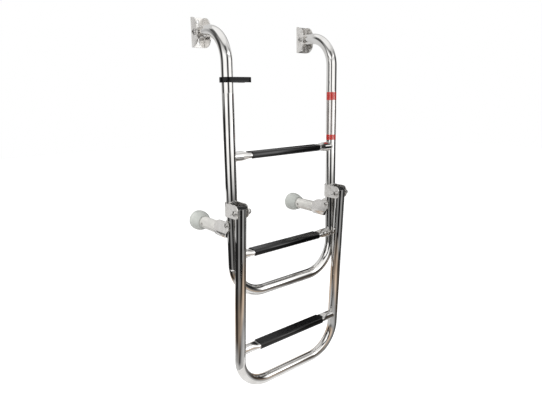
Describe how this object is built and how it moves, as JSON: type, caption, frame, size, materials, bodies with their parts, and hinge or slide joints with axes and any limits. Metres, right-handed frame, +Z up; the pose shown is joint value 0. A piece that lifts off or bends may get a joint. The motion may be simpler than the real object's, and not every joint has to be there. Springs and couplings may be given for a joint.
{
  "type": "folding boarding ladder",
  "caption": "Folding stainless boarding ladder: bent-tube frame hooked to a hull, lower frame hinged below, ribbed treads, hinged standoffs with rubber feet.",
  "frame": {"origin": "on the back face of the left wall bracket, level with its bolt", "axes": "+Z up, +Y into the hull that the ladder hangs on, +X from the left bracket to the right one"},
  "size_m": [0.3593, 0.2071, 0.8682],
  "materials": {
    "polished_steel": "mirror-polished stainless steel tube",
    "bracket_steel": "satin stainless steel sheet",
    "fastener_steel": "bright stainless steel bolts and nuts",
    "standoff_metal": "light satin grey tube",
    "foot_rubber": "light grey rubber, matt",
    "black_plastic": "black moulded plastic",
    "tread_plastic": "charcoal ribbed plastic, soft sheen",
    "pad_rubber": "black rubber"
  },
  "bodies": {
    "wall_brackets": {"left_wall_bracket": "bracket_steel", "left_wall_bolt": "fastener_steel", "left_wall_nut": "fastener_steel", "left_wall_washer_near_head": "fastener_steel", "left_wall_washer_near_nut": "fastener_steel", "right_wall_bracket": "bracket_steel", "right_wall_bolt": "fastener_steel", "right_wall_nut": "fastener_steel", "right_wall_washer_near_head": "fastener_steel", "right_wall_washer_near_nut": "fastener_steel"},
    "upper_frame": {"upper_rail": "polished_steel", "tread_1_tube": "polished_steel", "tread_1_cover": "tread_plastic", "tread_2_tube": "polished_steel", "tread_2_cover": "tread_plastic", "left_hinge_bracket": "bracket_steel", "left_hinge_bolt": "fastener_steel", "left_hinge_nut": "fastener_steel", "left_standoff_bolt": "fastener_steel", "left_standoff_nut": "fastener_steel", "right_hinge_bracket": "bracket_steel", "right_hinge_bolt": "fastener_steel", "right_hinge_nut": "fastener_steel", "right_standoff_bolt": "fastener_steel", "right_standoff_nut": "fastener_steel"},
    "lower_frame": {"lower_rail": "polished_steel", "tread_3_tube": "polished_steel", "tread_3_cover": "tread_plastic", "left_rail_cap": "black_plastic", "right_rail_cap": "black_plastic"},
    "left_standoff": {"left_standoff_tube": "standoff_metal", "left_standoff_fork": "bracket_steel", "left_standoff_pad": "pad_rubber", "left_foot": "foot_rubber", "left_foot_screw": "fastener_steel"},
    "right_standoff": {"right_standoff_tube": "standoff_metal", "right_standoff_fork": "bracket_steel", "right_standoff_pad": "pad_rubber", "right_foot": "foot_rubber", "right_foot_screw": "fastener_steel"},
    "clip": {"hold_clip": "black_plastic"}
  },
  "joints": [
    {"name": "ladder_swing", "type": "hinge", "parent": "wall_brackets", "child": "upper_frame", "pos_m": [0, -0.017, 0], "axis": [-1, 0, 0], "range_deg": [0, 90]},
    {"name": "lower_fold", "type": "hinge", "parent": "upper_frame", "child": "lower_frame", "pos_m": [0, -0.146, -0.382], "axis": [-1, 0, 0], "range_deg": [0, 181.8]},
    {"name": "left_standoff_fold", "type": "hinge", "parent": "upper_frame", "child": "left_standoff", "pos_m": [0, -0.112, -0.415], "axis": [1, 0, 0], "range_deg": [0, 40]},
    {"name": "right_standoff_fold", "type": "hinge", "parent": "upper_frame", "child": "right_standoff", "pos_m": [0.306, -0.112, -0.415], "axis": [1, 0, 0], "range_deg": [0, 40]},
    {"name": "clip_swing", "type": "hinge", "parent": "upper_frame", "child": "clip", "pos_m": [0, -0.112, -0.104], "axis": [0, 0, -1], "range_deg": [0, 90]}
  ]
}
